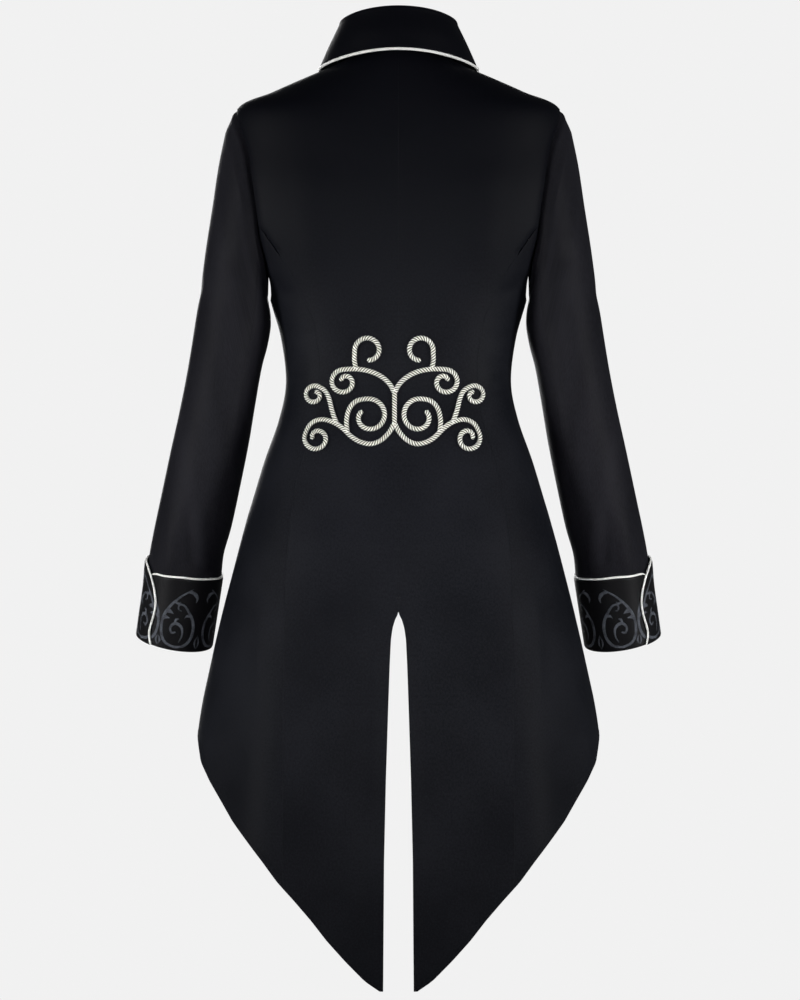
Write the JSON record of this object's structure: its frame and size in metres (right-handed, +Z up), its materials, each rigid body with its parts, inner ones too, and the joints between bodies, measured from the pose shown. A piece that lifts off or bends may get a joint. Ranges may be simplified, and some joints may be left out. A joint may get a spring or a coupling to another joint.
{
  "type": "embroidered tailcoat",
  "caption": "Fitted black tailcoat with a high collar, pointed swallow tails, turned-back brocade cuffs and scrolled cord braid on the lower back, hollow as worn.",
  "frame": {"origin": "on the centre line between the two neck sides, at the level of the shoulder seams' upper ends, where the coat hangs from the wearer's shoulders", "axes": "+Z up as worn, -Y towards the wearer's front, +X towards the wearer's left"},
  "size_m": [0.6156, 0.3158, 1.117],
  "materials": {
    "coat_cloth": "smooth matt satin-weave cloth",
    "cuff_brocade": "figured brocade, dark grey on black",
    "piping": "smooth silver-white piping",
    "braid": "twisted ivory and silver cord",
    "button": "plain polished black"
  },
  "bodies": {
    "root": {"back_left": "coat_cloth", "back_right": "coat_cloth", "side_back_left": "coat_cloth", "side_back_right": "coat_cloth", "front_left": "coat_cloth", "front_right": "coat_cloth", "sleeve_upper_left": "coat_cloth", "sleeve_upper_right": "coat_cloth", "sleeve_under_left": "coat_cloth", "sleeve_under_right": "coat_cloth", "collar_stand": "coat_cloth", "collar_fall": "coat_cloth", "cuff_left": "cuff_brocade", "cuff_right": "cuff_brocade", "collar_piping": "piping", "cuff_piping_left": "piping", "cuff_piping_right": "piping", "braid_stem": "braid", "braid_arm_left": "braid", "braid_arm_right": "braid", "braid_curl_left": "braid", "braid_curl_right": "braid", "braid_sweep_left": "braid", "braid_sweep_right": "braid", "braid_volute_left": "braid", "braid_volute_right": "braid", "braid_scroll_left": "braid", "braid_scroll_right": "braid", "button_1": "button", "button_2": "button", "button_3": "button", "button_4": "button", "button_5": "button"}
  },
  "joints": []
}
